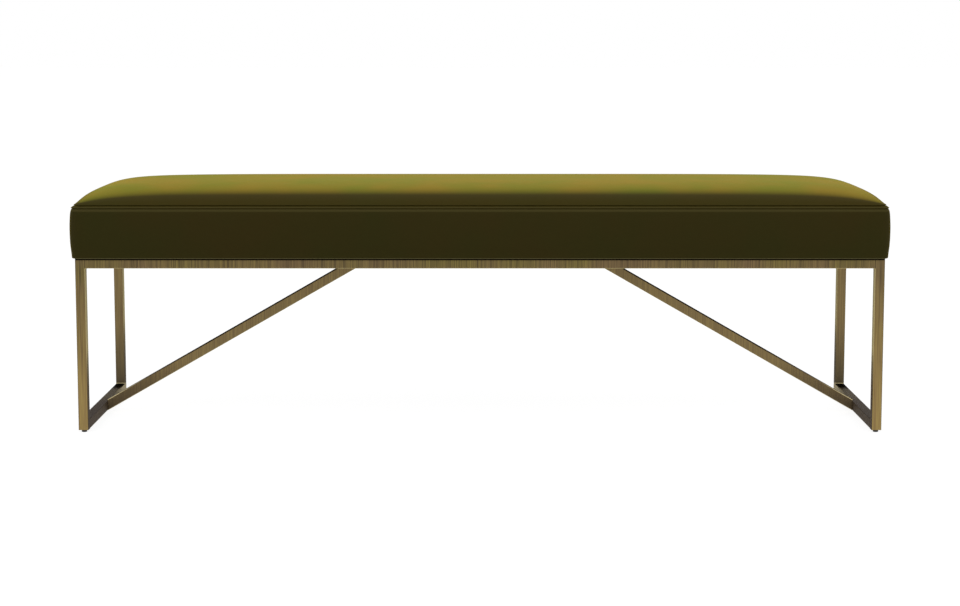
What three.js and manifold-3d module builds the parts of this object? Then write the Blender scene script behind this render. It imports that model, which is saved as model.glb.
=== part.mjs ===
// Upholstered bench: a crowned box cushion on a welded frame of square tube.
// Millimetres, +Z up, +X along the bench, +Y to its back. The origin is on the floor under the middle.
import * as THREE from "three";
import { mergeVertices } from "three/addons/utils/BufferGeometryUtils.js";
import Module from "manifold-3d";

const wasm = await Module();
wasm.setup();

// Frame of square tube
const frameLength = 1630;
const frameDepth = 486;
const legLength = 350;
const tube = 20;
const tubeWall = 1.5;
const tubeCorner = 1.2; // outside corner of the tube section
const crossBarCentre = 215; // from the middle of the bench
const weldSeam = 0.1; // ground weld line between two tubes

// Levelling glides
const glideHeight = 5; // pad below the leg
const padRadius = 5.5;
const padChamfer = 1.1;
const padFloor = 1.6; // nylon under the stud
const studRadius = 3;
const studChamfer = 0.5;
const studAboveInsert = 6;
const glideInsertHeight = 14;
const glideLip = 1.2; // chamfer round the insert's upper edge

// Running and seating clearances
const runningGap = 0.3; // between pieces that move, or that stand for a thread
const restGap = 0.1; // between pieces that lie on each other
const boltGap = 0.6; // round a screw in its hole
const overrun = 4; // how far a cutting solid passes the faces it cuts

// Wooden seat frame
const boardHeight = 42;
const boardThickness = 20;
const deckThickness = 12;
const cornerBlockLeg = 42;
const cornerBlockHeight = 30;

// Seat screws and their threaded inserts
const endScrewInset = 93; // from the front or back of the frame, along the end rails
const barScrewInset = 123; // the same along the cross bars
const screwRadius = 3;
const screwHeadRadius = 6.5;
const screwHeadHeight = 3.6;
const screwFlange = 1; // height of the flange under the domed head
const hexRadius = 2.3; // corner to centre of the socket
const hexDepth = 2.2;
const insertRadius = 5;
const insertLength = 14;
const insertChamfer = 0.6;

// Cushion
const cornerRadius = 12; // plan corner of the wooden seat frame
const coverThickness = 1.6;
const dustCoverThickness = 0.6;
const dustCoverInset = 8;
const seamHeight = 108; // from the top of the frame to the seam of the top panel
const crownRise = 39;
const crownPowerX = 13;
const crownBluntX = 0.56;
const crownPowerY = 4;
const crownBluntY = 0.6;
const seamOverhang = 4; // the cover stands outside the frame by these
const bottomOverhang = 9;
const bulgeOverhang = 12.4;
const shoulderOverhang = 9.8;
const turnUnder = 24; // cover folded under the seat boards
const bottomRadius = 4.6;
const bulgeHeight = 62; // of the widest place above the frame
const shoulderHeight = 94;
const stitchDrop = 7; // the row of top stitching lies this far below the seam
const stitchGroove = 0.8;
const foamShoulder = 3; // the foam's edge lies this far below the seam

const cornerSteps = 5;
const roundSegments = 20;
const screwSegments = 16;
// Where a crowned outline has points along its straight sides, from their middle to the corner
const crownLongShares = [0, 0.4, 0.64, 0.79, 0.88, 0.94, 0.98];
const crownShortShares = [0, 0.45, 0.8];
const plainShares = [0];
// How far each ring of the crowned surface is drawn in, as shares of the half depth
const coverRingShares = [0, 0.008, 0.028, 0.065, 0.12, 0.2, 0.33, 0.52, 0.78];
const foamRingShares = [0, 0.02, 0.06, 0.13, 0.24, 0.42, 0.7];

// Heights and places that follow from the sizes above
const frameTop = glideHeight + legLength;
const halfLength = frameLength / 2;
const halfDepth = frameDepth / 2;
const legX = halfLength - tube / 2;
const legY = halfDepth - tube / 2;
const topRailZ = frameTop - tube / 2;
const floorRailZ = glideHeight + tube / 2;
const railLength = frameLength - 2 * (tube + weldSeam);
const crossLength = frameDepth - 2 * (tube + weldSeam);
const dustCoverZ = frameTop + restGap;
const flangeZ = dustCoverZ + dustCoverThickness + restGap;
const boardZ = flangeZ + coverThickness + restGap;
const deckZ = boardZ + boardHeight + restGap;
const foamZ = deckZ + deckThickness + restGap;
const seamZ = frameTop + seamHeight;
const underRail = frameTop - tube;
const endScrewYs = [endScrewInset - halfDepth, halfDepth - endScrewInset];
const barScrewYs = [barScrewInset - halfDepth, halfDepth - barScrewInset];

const brass = new THREE.MeshStandardMaterial({ color: 0x8c7748, roughness: 0.42, metalness: 0.9 });
const nylon = new THREE.MeshStandardMaterial({ color: 0x141414, roughness: 0.55, metalness: 0 });
const zinc = new THREE.MeshStandardMaterial({ color: 0xa9abae, roughness: 0.38, metalness: 0.9 });
const plastic = new THREE.MeshStandardMaterial({ color: 0x232323, roughness: 0.6, metalness: 0 });
const velvet = new THREE.MeshStandardMaterial({ color: 0x5c5420, roughness: 0.92, metalness: 0 });
const pine = new THREE.MeshStandardMaterial({ color: 0xc9a36b, roughness: 0.75, metalness: 0 });
const plywood = new THREE.MeshStandardMaterial({ color: 0xb98f5c, roughness: 0.75, metalness: 0 });
const foam = new THREE.MeshStandardMaterial({ color: 0xe8dfc4, roughness: 0.95, metalness: 0 });
const wadding = new THREE.MeshStandardMaterial({ color: 0xf2f1ec, roughness: 1, metalness: 0 });
const cambric = new THREE.MeshStandardMaterial({ color: 0x1b1b1c, roughness: 0.95, metalness: 0 });

// Solids that are cut

function solidOf(geometry) {
  const bare = geometry.clone();
  bare.deleteAttribute("normal");
  bare.deleteAttribute("uv");
  const merged = mergeVertices(bare);
  return new wasm.Manifold(
    new wasm.Mesh({
      numProp: 3,
      vertProperties: merged.attributes.position.array,
      triVerts: new Uint32Array(merged.index.array),
    }),
  );
}

function geometryOf(solid) {
  const mesh = solid.getMesh();
  const geometry = new THREE.BufferGeometry();
  geometry.setAttribute("position", new THREE.BufferAttribute(mesh.vertProperties, 3));
  geometry.setIndex(new THREE.BufferAttribute(mesh.triVerts, 1));
  geometry.computeVertexNormals();
  return geometry;
}

function cut(geometry, cutters) {
  return geometryOf(cutters.reduce((solid, cutter) => solid.subtract(solidOf(cutter)), solidOf(geometry)));
}

// A round bar along Z, from bottom to top
function roundBar(radius, bottom, top) {
  const bar = new THREE.CylinderGeometry(radius, radius, top - bottom, screwSegments);
  return bar.rotateX(Math.PI / 2).translate(0, 0, (bottom + top) / 2);
}

// A turned piece round Z, from a list of [radius, height]
function turned(profile, segments = screwSegments) {
  const points = profile.map(([radius, height]) => new THREE.Vector2(radius, height));
  return new THREE.LatheGeometry(points, segments).rotateX(Math.PI / 2);
}

function block(sizeX, sizeY, sizeZ) {
  return new THREE.BoxGeometry(sizeX, sizeY, sizeZ);
}

function place(geometry, material, name, x, y, z) {
  const mesh = new THREE.Mesh(geometry, material);
  mesh.name = name;
  mesh.position.set(x, y, z);
  return mesh;
}

// Outlines and lofts

function roundedSquare(half, radius) {
  const shape = new THREE.Shape();
  const flat = half - radius;
  shape.absarc(flat, flat, radius, 0, Math.PI / 2);
  shape.absarc(-flat, flat, radius, Math.PI / 2, Math.PI);
  shape.absarc(-flat, -flat, radius, Math.PI, (3 * Math.PI) / 2);
  shape.absarc(flat, -flat, radius, (3 * Math.PI) / 2, 2 * Math.PI);
  return shape;
}

function squareHole(half) {
  const hole = new THREE.Path();
  hole.moveTo(-half, -half);
  hole.lineTo(-half, half);
  hole.lineTo(half, half);
  hole.lineTo(half, -half);
  hole.closePath();
  return hole;
}

// A length of square tube along Z, centred
function squareTube(length) {
  const section = roundedSquare(tube / 2, tubeCorner);
  section.holes.push(squareHole(tube / 2 - tubeWall));
  const options = { depth: length, bevelEnabled: false, curveSegments: 3 };
  return new THREE.ExtrudeGeometry(section, options).translate(0, 0, -length / 2);
}

// Points of a rounded rectangle in plan, anticlockwise. Its straight sides have points at the given shares.
function planOutline(halfX, halfY, radius, longShares, shortShares) {
  const flatX = halfX - radius;
  const flatY = halfY - radius;
  const quarter = [];
  for (const share of shortShares) quarter.push([halfX, flatY * share]);
  for (let step = 0; step <= cornerSteps; step += 1) {
    const angle = (step / cornerSteps) * (Math.PI / 2);
    quarter.push([flatX + radius * Math.cos(angle), flatY + radius * Math.sin(angle)]);
  }
  for (const share of longShares.slice().reverse()) quarter.push([flatX * share, halfY]);
  const left = quarter.slice(0, -1).reverse().map(([x, y]) => [-x, y]);
  const upper = [...quarter, ...left];
  const lower = upper.slice(1, -1).map(([x, y]) => [-x, -y]);
  return [...upper, ...lower];
}

// The outline of the seat frame, moved outwards by a distance
function seatOutline(offset, longShares = plainShares, shortShares = plainShares) {
  const radius = Math.max(cornerRadius + offset, tubeCorner);
  return planOutline(halfLength + offset, halfDepth + offset, radius, longShares, shortShares);
}

// Joins rings of points that have the same count into faces that point outwards
function ringFaces(ringCount, pointCount, closed) {
  const faces = [];
  const last = closed ? ringCount : ringCount - 1;
  for (let ring = 0; ring < last; ring += 1) {
    const here = ring * pointCount;
    const next = ((ring + 1) % ringCount) * pointCount;
    for (let point = 0; point < pointCount; point += 1) {
      const after = (point + 1) % pointCount;
      faces.push(here + point, here + after, next + after);
      faces.push(here + point, next + after, next + point);
    }
  }
  return faces;
}

// Closes a ring whose points are mirrored front to back, with strips across it
function ringCap(start, pointCount, flip) {
  const faces = [];
  const half = pointCount / 2;
  for (let point = 0; point < half; point += 1) {
    const back = point;
    const backNext = point + 1;
    const front = (pointCount - point) % pointCount;
    const frontNext = pointCount - point - 1;
    const strip = [
      [back, backNext, frontNext],
      [back, frontNext, front],
    ];
    for (const [a, b, c] of strip) {
      if (a === b || b === c || a === c) continue;
      faces.push(start + a, start + (flip ? c : b), start + (flip ? b : c));
    }
  }
  return faces;
}

function geometryFrom(points, faces) {
  const geometry = new THREE.BufferGeometry();
  geometry.setAttribute("position", new THREE.Float32BufferAttribute(points.flat(), 3));
  geometry.setIndex(faces);
  geometry.computeVertexNormals();
  return geometry;
}

// A band round the seat, lofted from a closed profile of [offset from the frame, height]
function band(profile) {
  const rings = profile.map(([offset, height]) => seatOutline(offset).map(([x, y]) => [x, y, height]));
  return geometryFrom(rings.flat(), ringFaces(rings.length, rings[0].length, true));
}

// How much of the crown's rise a place has, from 0 at the edge to 1 in the middle
function crownShare(x, y, halfX, halfY) {
  const along = Math.min(Math.abs(x) / halfX, 1);
  const across = Math.min(Math.abs(y) / halfY, 1);
  const alongRise = Math.pow(1 - Math.pow(along, crownPowerX), crownBluntX);
  return alongRise * Math.pow(1 - Math.pow(across, crownPowerY), crownBluntY);
}

// Rings of a crowned surface whose edge is the seat outline moved by offset
function crownRings(offset, edgeZ, rise, insets) {
  const halfX = halfLength + offset;
  const halfY = halfDepth + offset;
  return insets.map((inset) => {
    const drawn = inset * halfY;
    const radius = (cornerRadius + offset) * (1 - inset);
    const outline = planOutline(halfX - drawn, halfY - drawn, radius, crownLongShares, crownShortShares);
    return outline.map(([x, y]) => [x, y, edgeZ + (inset === 0 ? 0 : rise * crownShare(x, y, halfX, halfY))]);
  });
}

// Frame

// Each leg's side of the bench along X and Y
const footSides = { front_left: [-1, -1], front_right: [1, -1], back_left: [-1, 1], back_right: [1, 1] };

function makeLegs() {
  const group = new THREE.Group();
  for (const [corner, [sideX, sideY]] of Object.entries(footSides)) {
    group.add(
      place(squareTube(legLength), brass, `leg_${corner}`, sideX * legX, sideY * legY, glideHeight + legLength / 2),
    );
  }
  return group;
}

function railAlongX(name, y) {
  const rail = place(squareTube(railLength), brass, name, 0, y, topRailZ);
  rail.rotation.y = Math.PI / 2;
  return rail;
}

// A tube from front to back. A screw hole at each of the given places goes through its upper and lower walls.
function railAlongY(name, x, z, screwYs) {
  const holes = screwYs.map((y) =>
    roundBar(screwRadius + boltGap, -tube / 2 - overrun, tube / 2 + overrun).translate(0, y, 0),
  );
  const straight = squareTube(crossLength).rotateX(Math.PI / 2);
  return place(holes.length ? cut(straight, holes) : straight, brass, name, x, 0, z);
}

function makeRails() {
  const group = new THREE.Group();
  group.add(railAlongX("rail_front", -legY), railAlongX("rail_back", legY));
  for (const [side, sign] of [["left", -1], ["right", 1]]) {
    group.add(
      railAlongY(`end_rail_${side}`, sign * legX, topRailZ, endScrewYs),
      railAlongY(`floor_rail_${side}`, sign * legX, floorRailZ, []),
      railAlongY(`cross_bar_${side}`, sign * crossBarCentre, topRailZ, barScrewYs),
    );
  }
  return group;
}

// The brace's side view has upright ends. Its lower corner lies at the bottom of the floor rail and its
// upper corner at the top of the frame, which settles its slope.
function braceGeometry() {
  const outerX = halfLength - tube - weldSeam;
  const innerX = crossBarCentre + tube / 2 + weldSeam;
  const run = outerX - innerX;
  const slope = Math.acos(tube / Math.hypot(legLength, run)) - Math.atan2(run, legLength);
  const sideView = (margin, reach) => {
    const rise = Math.tan(slope);
    const lower = margin / Math.cos(slope);
    const upper = (tube - margin) / Math.cos(slope);
    const shape = new THREE.Shape();
    shape.moveTo(outerX + reach, lower - reach * rise);
    shape.lineTo(outerX + reach, upper - reach * rise);
    shape.lineTo(innerX - reach, upper + (run + reach) * rise);
    shape.lineTo(innerX - reach, lower + (run + reach) * rise);
    shape.closePath();
    return shape;
  };
  const slab = (shape, width) => {
    const options = { depth: width, bevelEnabled: false };
    return new THREE.ExtrudeGeometry(shape, options).translate(0, 0, -width / 2).rotateX(Math.PI / 2);
  };
  return cut(slab(sideView(0, 0), tube), [slab(sideView(tubeWall, overrun), tube - 2 * tubeWall)]);
}

function makeBraces() {
  const group = new THREE.Group();
  const right = place(braceGeometry(), brass, "brace_right", 0, 0, glideHeight);
  const left = place(braceGeometry(), brass, "brace_left", 0, 0, glideHeight);
  left.rotation.z = Math.PI;
  group.add(right, left);
  return group;
}

// Levelling glides: a threaded plug in the foot of each leg, a stud that turns in it, and a nylon pad

function glideInsertGeometry() {
  const half = tube / 2 - tubeWall - restGap;
  const body = new THREE.ExtrudeGeometry(roundedSquare(half, glideLip), {
    depth: glideInsertHeight,
    bevelEnabled: false,
    curveSegments: 2,
  });
  return cut(body, [roundBar(studRadius + runningGap, -overrun, glideInsertHeight + overrun)]);
}

function padGeometry() {
  const top = glideHeight - runningGap;
  const bore = studRadius + runningGap;
  return turned([
    [0, 0],
    [padRadius - padChamfer, 0],
    [padRadius, padChamfer],
    [padRadius, top],
    [bore, top],
    [bore, padFloor],
    [0, padFloor],
  ], roundSegments);
}

function studGeometry() {
  const bottom = padFloor + runningGap;
  const top = glideHeight + glideInsertHeight + studAboveInsert;
  return turned([
    [0, bottom],
    [studRadius - studChamfer, bottom],
    [studRadius, bottom + studChamfer],
    [studRadius, top - studChamfer],
    [studRadius - studChamfer, top],
    [0, top],
  ]);
}

function makeGlides() {
  const group = new THREE.Group();
  for (const [corner, [sideX, sideY]] of Object.entries(footSides)) {
    const glide = new THREE.Group();
    glide.position.set(sideX * legX, sideY * legY, 0);
    glide.add(
      place(glideInsertGeometry(), plastic, `glide_insert_${corner}`, 0, 0, glideHeight),
      place(studGeometry(), zinc, `glide_stud_${corner}`, 0, 0, 0),
      place(padGeometry(), nylon, `glide_pad_${corner}`, 0, 0, 0),
    );
    group.add(glide);
  }
  return group;
}

// Seat screws, which go up through the rails and cross bars into inserts in the boards above

function screwGeometry() {
  const seat = underRail - restGap;
  const tip = boardZ + insertLength - restGap;
  const bottom = seat - screwHeadHeight;
  const body = turned([
    [0, bottom],
    [screwHeadRadius - screwHeadHeight + screwFlange, bottom],
    [screwHeadRadius, seat - screwFlange],
    [screwHeadRadius, seat],
    [screwRadius, seat],
    [screwRadius, tip - studChamfer],
    [screwRadius - studChamfer, tip],
    [0, tip],
  ]);
  const socket = new THREE.CylinderGeometry(hexRadius, hexRadius, hexDepth + overrun, 6)
    .rotateX(Math.PI / 2)
    .translate(0, 0, bottom + (hexDepth - overrun) / 2);
  return cut(body, [socket]);
}

function insertGeometry() {
  const bore = screwRadius + runningGap;
  const outside = insertRadius - restGap;
  const top = boardZ + insertLength;
  return turned([
    [bore, boardZ],
    [outside, boardZ],
    [outside, top - insertChamfer],
    [outside - insertChamfer, top],
    [bore, top],
    [bore, boardZ],
  ]);
}

// Where the eight screws go, by name
const screwPlaces = [];
for (const [side, sign] of [["left", -1], ["right", 1]]) {
  for (const [index, end] of ["front", "back"].entries()) {
    screwPlaces.push([`end_${side}_${end}`, sign * legX, endScrewYs[index]]);
    screwPlaces.push([`bar_${side}_${end}`, sign * crossBarCentre, barScrewYs[index]]);
  }
}

function screwHoles(radius, bottom, top) {
  return screwPlaces.map(([, x, y]) => roundBar(radius, bottom, top).translate(x, y, 0));
}

function makeScrews() {
  const group = new THREE.Group();
  for (const [name, x, y] of screwPlaces) {
    group.add(place(screwGeometry(), zinc, `seat_screw_${name}`, x, y, 0));
    group.add(place(insertGeometry(), zinc, `seat_insert_${name}`, x, y, 0));
  }
  return group;
}

// Wooden seat frame

// A board from front to back, with pockets for the threaded inserts above its screws
function boardAlongY(name, x, length, screwX, screwYs) {
  const pockets = screwYs.map((y) =>
    roundBar(insertRadius, -boardHeight / 2 - overrun, insertLength - boardHeight / 2 + restGap).translate(
      screwX - x,
      y,
      0,
    ),
  );
  const board = cut(block(boardThickness, length, boardHeight), pockets);
  return place(board, pine, name, x, 0, boardZ + boardHeight / 2);
}

function makeBoards() {
  const group = new THREE.Group();
  const boardX = halfLength - boardThickness / 2;
  const boardY = halfDepth - boardThickness / 2;
  const middle = boardZ + boardHeight / 2;
  const longLength = frameLength - 2 * cornerRadius;
  const shortLength = frameDepth - 2 * (boardThickness + restGap);
  const longBoard = () => block(longLength, boardThickness, boardHeight);
  group.add(
    place(longBoard(), pine, "seat_board_front", 0, -boardY, middle),
    place(longBoard(), pine, "seat_board_back", 0, boardY, middle),
  );
  for (const [side, sign] of [["left", -1], ["right", 1]]) {
    group.add(boardAlongY(`seat_board_${side}`, sign * boardX, shortLength, sign * legX, endScrewYs));
    const slatX = sign * crossBarCentre;
    group.add(boardAlongY(`seat_slat_${side}`, slatX, shortLength, slatX, barScrewYs));
  }
  return group;
}

// Glued blocks that brace the inside corners of the seat frame
function makeCornerBlocks() {
  const group = new THREE.Group();
  const shape = new THREE.Shape();
  shape.moveTo(0, 0);
  shape.lineTo(cornerBlockLeg, 0);
  shape.lineTo(0, cornerBlockLeg);
  shape.closePath();
  const insideX = halfLength - boardThickness - restGap;
  const insideY = halfDepth - boardThickness - restGap;
  const corners = {
    front_left: [-insideX, -insideY, 0],
    front_right: [insideX, -insideY, 1],
    back_right: [insideX, insideY, 2],
    back_left: [-insideX, insideY, 3],
  };
  for (const [corner, [x, y, quarterTurns]] of Object.entries(corners)) {
    const options = { depth: cornerBlockHeight, bevelEnabled: false };
    const top = boardZ + boardHeight;
    const mesh = place(new THREE.ExtrudeGeometry(shape, options), pine, `corner_block_${corner}`, x, y, 0);
    mesh.position.z = top - cornerBlockHeight;
    mesh.rotation.z = (quarterTurns * Math.PI) / 2;
    group.add(mesh);
  }
  return group;
}

function makeDeck() {
  const deck = new THREE.Shape(seatOutline(0).map(([x, y]) => new THREE.Vector2(x, y)));
  const geometry = new THREE.ExtrudeGeometry(deck, { depth: deckThickness, bevelEnabled: false });
  return place(geometry, plywood, "seat_deck", 0, 0, deckZ);
}

// Cushion

function foamGeometry() {
  const edgeZ = seamZ - foamShoulder;
  const centreZ = seamZ + crownRise - coverThickness - runningGap;
  const top = crownRings(0, edgeZ, centreZ - edgeZ, foamRingShares);
  const bottom = seatOutline(0, crownLongShares, crownShortShares).map(([x, y]) => [x, y, foamZ]);
  const rings = [bottom, ...top];
  const count = bottom.length;
  const faces = [
    ...ringFaces(rings.length, count, false),
    ...ringCap((rings.length - 1) * count, count, false),
    ...ringCap(0, count, true),
  ];
  return geometryFrom(rings.flat(), faces);
}

// The cover's outside from its turned-under edge to the seam, as [offset from the frame, height]
function coverSide(inset) {
  const bottom = flangeZ + inset;
  const bend = bottomRadius - inset;
  const side = [[-turnUnder, bottom]];
  const centre = [bottomOverhang - bottomRadius, flangeZ + bottomRadius];
  for (const turn of [-90, -60, -30, 0]) {
    const angle = THREE.MathUtils.degToRad(turn);
    side.push([centre[0] + bend * Math.cos(angle), centre[1] + bend * Math.sin(angle)]);
  }
  const lowCurve = new THREE.QuadraticBezierCurve(
    new THREE.Vector2(bottomOverhang, flangeZ + bottomRadius),
    new THREE.Vector2(bulgeOverhang, (flangeZ + bottomRadius + frameTop + bulgeHeight) / 2),
    new THREE.Vector2(bulgeOverhang, frameTop + bulgeHeight),
  );
  const highCurve = new THREE.QuadraticBezierCurve(
    new THREE.Vector2(bulgeOverhang, frameTop + bulgeHeight),
    new THREE.Vector2(bulgeOverhang, frameTop + (bulgeHeight + shoulderHeight) / 2),
    new THREE.Vector2(shoulderOverhang, frameTop + shoulderHeight),
  );
  for (const curve of [lowCurve, highCurve]) {
    for (const point of curve.getPoints(3).slice(1)) side.push([point.x - inset, point.y]);
  }
  return side;
}

// Boxing band: turned under the boards, full in the middle, with a row of top stitching under the seam
function bandProfile() {
  const stitchZ = seamZ - stitchDrop;
  const lip = (seamOverhang + shoulderOverhang) / 2;
  const outside = [
    ...coverSide(0),
    [shoulderOverhang - stitchGroove, stitchZ - stitchGroove],
    [shoulderOverhang - 2 * stitchGroove, stitchZ],
    [shoulderOverhang - stitchGroove, stitchZ + stitchGroove],
    [lip + stitchGroove, seamZ - stitchDrop / 2],
    [lip, seamZ - 2 * stitchGroove],
    [seamOverhang, seamZ - restGap],
  ];
  const inside = [
    [seamOverhang - coverThickness, seamZ - coverThickness],
    [lip - coverThickness - stitchGroove, stitchZ],
    ...coverSide(coverThickness).reverse(),
  ];
  return [...outside, ...inside];
}

function makeCoverBand() {
  const holes = screwHoles(screwRadius + boltGap, frameTop - overrun, boardZ + restGap);
  return place(cut(band(bandProfile()), holes), velvet, "cover_band", 0, 0, 0);
}

// Wadding that fills between the boards and the band
function makeWadding() {
  const skin = coverThickness + runningGap;
  const fill = coverSide(skin).slice(4);
  const lip = (seamOverhang + shoulderOverhang) / 2;
  const profile = [
    [restGap, boardZ],
    [bottomOverhang - bottomRadius, boardZ],
    ...fill,
    [lip - skin - stitchGroove, seamZ - stitchDrop],
    [restGap, seamZ - stitchDrop],
  ];
  return place(band(profile), wadding, "side_wadding", 0, 0, 0);
}

// Top panel: one crowned piece, sewn to the band along the seam
function makeCoverTop() {
  const edgeZ = seamZ + restGap;
  const outer = crownRings(seamOverhang, edgeZ, crownRise - restGap, coverRingShares);
  const innerRise = crownRise - restGap - coverThickness;
  const inner = crownRings(seamOverhang - coverThickness, edgeZ, innerRise, coverRingShares);
  const rings = [...inner.reverse(), ...outer];
  const count = rings[0].length;
  const faces = [
    ...ringCap(0, count, true),
    ...ringFaces(rings.length, count, false),
    ...ringCap((rings.length - 1) * count, count, false),
  ];
  return place(geometryFrom(rings.flat(), faces), velvet, "cover_top", 0, 0, 0);
}

function makeDustCover() {
  const sheet = block(frameLength - 2 * dustCoverInset, frameDepth - 2 * dustCoverInset, dustCoverThickness);
  sheet.translate(0, 0, dustCoverZ + dustCoverThickness / 2);
  const holes = screwHoles(screwRadius + boltGap, frameTop - overrun, frameTop + overrun);
  return place(cut(sheet, holes), cambric, "dust_cover", 0, 0, 0);
}

const bench = new THREE.Group();
bench.add(makeLegs(), makeRails(), makeBraces(), makeGlides(), makeScrews());
bench.add(makeBoards(), makeCornerBlocks(), makeDeck());
bench.add(place(foamGeometry(), foam, "foam_core", 0, 0, 0));
bench.add(makeWadding(), makeCoverBand(), makeCoverTop(), makeDustCover());

export default bench;
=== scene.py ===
"""Dresses the frame of the upholstered bench: velvet cushion, brushed brass tube, glides and lining."""

import math

import bmesh
import bpy
from mathutils import Matrix, Vector


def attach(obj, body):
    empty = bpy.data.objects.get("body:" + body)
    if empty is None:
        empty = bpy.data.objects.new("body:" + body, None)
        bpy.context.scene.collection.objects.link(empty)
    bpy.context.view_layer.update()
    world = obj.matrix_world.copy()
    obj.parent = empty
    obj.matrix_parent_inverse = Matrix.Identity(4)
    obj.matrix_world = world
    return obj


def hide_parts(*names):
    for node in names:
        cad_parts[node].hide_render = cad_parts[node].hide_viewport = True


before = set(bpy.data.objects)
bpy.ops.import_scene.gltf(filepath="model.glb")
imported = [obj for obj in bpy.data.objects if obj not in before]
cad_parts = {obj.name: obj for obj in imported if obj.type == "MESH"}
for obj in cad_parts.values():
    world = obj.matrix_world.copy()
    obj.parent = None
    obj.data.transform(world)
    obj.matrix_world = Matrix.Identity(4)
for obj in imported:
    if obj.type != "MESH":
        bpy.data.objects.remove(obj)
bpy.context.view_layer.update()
scene = bpy.context.scene

MM = 0.001

# The seat frame's outline in plan, which is also that of the metal frame
HALF_X = 0.815
HALF_Y = 0.243
CORNER = 0.012
FRAME_TOP = 0.355

# Square tube of the frame, the ground weld line between two tubes, and the glides' height below it
TUBE = 0.020
TUBE_CORNER = 0.0012
WELD = 0.0001
GLIDE = 0.005
# A ring of points this near an edge keeps the shading of the flat beside it flat
FLAT_MARGIN = 0.3 * MM

# Cushion: the seam of the top panel, the lip above it, its crown and the row of top stitching
SEAM_Z = 0.4617
SEAM_OFFSET = 0.0030
LIP = 0.0013
CROWN_RISE = 0.0402
STITCH_OFFSET = 0.0055
STITCH_Z = 0.4559
STITCH_PITCH = 0.0045
STITCH_RADII = (0.0017, 0.00042, 0.00042)
COVER_THICKNESS = 0.0016
COLUMNS = 120
ROWS = 48
CROWDING = 0.78

# The crown's outline along the bench and across it: how square its shoulders are, and how bluntly it falls
# to the seam, which it does a little later at the left end than at the right
LONG_SQUARENESS = 20
LEFT_FALL = 0.51
RIGHT_FALL = 0.55
END_DROOP = 0.2
SHORT_SQUARENESS = 4
SHORT_FALL = 0.6

# The ends are sewn tighter: over what run along the bench, and for the crown, the ridge and the groove,
# at what height, over what reach and by how much
TIGHT_FROM = HALF_X - 0.010
TIGHT_RUN = 0.012
CROWN_FOOT = 0.4618
CROWN_REACH = 0.0040
CROWN_DRAWN = 0.0030
RIDGE_MIDDLE = 0.4595
RIDGE_REACH = 0.0040
RIDGE_LIFT = 0.0009
GROOVE_MIDDLE = 0.4563
GROOVE_REACH = 0.0020
GROOVE_FILL = 0.0013

# The braces run from the foot of the end frames up to the cross bars
CROSS_BAR_X = 0.215
BRACE_OUTER = HALF_X - TUBE - WELD
BRACE_INNER = CROSS_BAR_X + TUBE / 2 + WELD
BRACE_RUN = BRACE_OUTER - BRACE_INNER
BRACE_RISE = FRAME_TOP - GLIDE
BRACE_SLOPE = math.acos(TUBE / math.hypot(BRACE_RISE, BRACE_RUN)) - math.atan2(BRACE_RUN, BRACE_RISE)

# Foam block: its sides, how far its crown starts below the seam and rises beyond the cover's, and its edges
FOAM_OFFSET = -0.0045
FOAM_DROP = 0.006
FOAM_EXTRA_RISE = 0.0020
FOAM_SHOULDER = 0.4425
FOAM_BOTTOM = 0.4118

# Wadding, in millimetres: its inner side, its lower and upper rims, and how far it stays inside the band
WADDING_INSIDE = 0.2
WADDING_BOTTOM = 357.7
WADDING_TOP = 452.0
WADDING_CLEAR = 2.4

# Lining cloth, stapled 8 mm inside the frame's edge and a little slack between the tubes
LINING_WIDTH = 1.614
LINING_DEPTH = 0.470
LINING_Z = FRAME_TOP + 0.0004
LINING_SAG = 0.0022
LINING_THICKNESS = 0.0006

# Glides under the legs
LEG_X = 0.805
LEG_Y = 0.233
FEET = {
    "front_left": (-LEG_X, -LEG_Y),
    "front_right": (LEG_X, -LEG_Y),
    "back_left": (-LEG_X, LEG_Y),
    "back_right": (LEG_X, LEG_Y),
}

# Seat screws, up through the end rails and the cross bars
END_SCREW_Y = 0.150
BAR_SCREW_Y = 0.120
SOCKET_REACH = 0.0020
SCREWS = {}
for side, way in (("left", -1), ("right", 1)):
    for end, face in (("front", -1), ("back", 1)):
        SCREWS[f"end_{side}_{end}"] = (way * LEG_X, face * END_SCREW_Y)
        SCREWS[f"bar_{side}_{end}"] = (way * CROSS_BAR_X, face * BAR_SCREW_Y)


# Camera and studio


def linear(colour):
    """A hex colour as written for the screen, as the shader wants it."""
    channels = [int(colour[place : place + 2], 16) / 255 for place in (1, 3, 5)]
    return (*(c / 12.92 if c <= 0.04045 else ((c + 0.055) / 1.055) ** 2.4 for c in channels), 1)


def wire(tree, node, inputs):
    """Sets a node's inputs, each to a value, a hex colour, the socket that feeds it, or the node whose
    first output does."""
    for name, value in inputs.items():
        if isinstance(value, str):
            value = linear(value)
        if isinstance(value, bpy.types.Node):
            value = value.outputs[0]
        if isinstance(value, bpy.types.NodeSocket):
            tree.links.new(value, node.inputs[name])
        else:
            node.inputs[name].default_value = value


def add(tree, kind, inputs=None, **settings):
    """Adds a node with its settings and inputs."""
    made = tree.nodes.new("ShaderNode" + kind)
    for name, value in settings.items():
        setattr(made, name, value)
    wire(tree, made, inputs or {})
    return made


def place_camera():
    """The photograph's viewpoint: straight in front, a little above the seat, looking 7 degrees down."""
    camera = bpy.data.objects.new("camera", bpy.data.cameras.new("camera"))
    camera.data.lens = 82.70
    camera.data.sensor_width = 36
    camera.location = (0, -4.655, 0.8169)
    camera.rotation_euler = (math.radians(90 - 7.128), 0, 0)
    scene.collection.objects.link(camera)
    scene.camera = camera
    scene.view_settings.view_transform = "Standard"


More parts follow.
